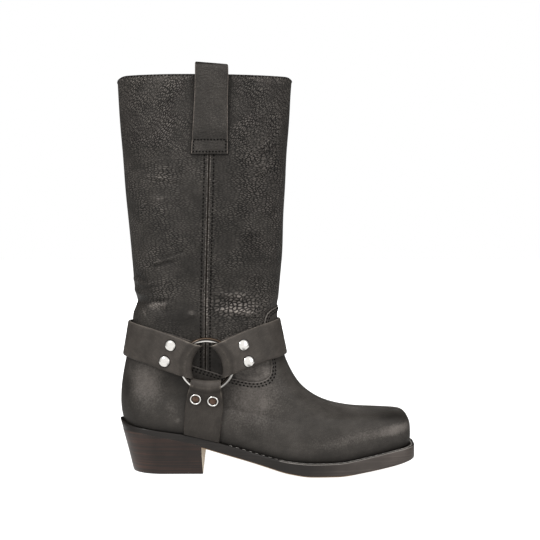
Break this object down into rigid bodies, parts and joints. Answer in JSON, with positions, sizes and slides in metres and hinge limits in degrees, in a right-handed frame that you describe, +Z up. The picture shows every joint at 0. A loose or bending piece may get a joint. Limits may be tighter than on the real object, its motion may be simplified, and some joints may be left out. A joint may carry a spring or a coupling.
{
  "type": "harness boot",
  "caption": "Pull-on leather boot with a calf-high shaft, square toe, stacked heel, and straps riveted to a ring at each ankle.",
  "frame": {"origin": "on the floor, under the middle of the boot's bounding box", "axes": "+X towards the toe, +Z up the shaft, -Y towards the outer side of the foot"},
  "size_m": [0.284, 0.101, 0.389],
  "materials": {
    "upper_leather": "waxed, milled grain",
    "strap_leather": "smooth, waxed",
    "welt_leather": "edge dressed",
    "insole_leather": "natural",
    "sole_leather": "edge dressed",
    "heel_leather": "stacked layers, dressed",
    "nickel": "polished nickel plate"
  },
  "bodies": {
    "root": {"upper": "upper_leather", "insole": "insole_leather", "welt": "welt_leather", "outsole": "sole_leather", "heel": "heel_leather", "strap_back": "strap_leather", "strap_front": "strap_leather", "strap_side_outer": "strap_leather", "strap_side_inner": "strap_leather", "pull_loop_outer": "upper_leather", "pull_loop_inner": "upper_leather", "ring_outer": "nickel", "ring_inner": "nickel", "rivet_back_outer_upper": "nickel", "rivet_back_outer_lower": "nickel", "rivet_back_inner_upper": "nickel", "rivet_back_inner_lower": "nickel", "rivet_front_outer_upper": "nickel", "rivet_front_outer_lower": "nickel", "rivet_front_inner_upper": "nickel", "rivet_front_inner_lower": "nickel", "rivet_side_outer_rear": "nickel", "rivet_side_outer_fore": "nickel", "rivet_side_inner_rear": "nickel", "rivet_side_inner_fore": "nickel"}
  },
  "joints": []
}
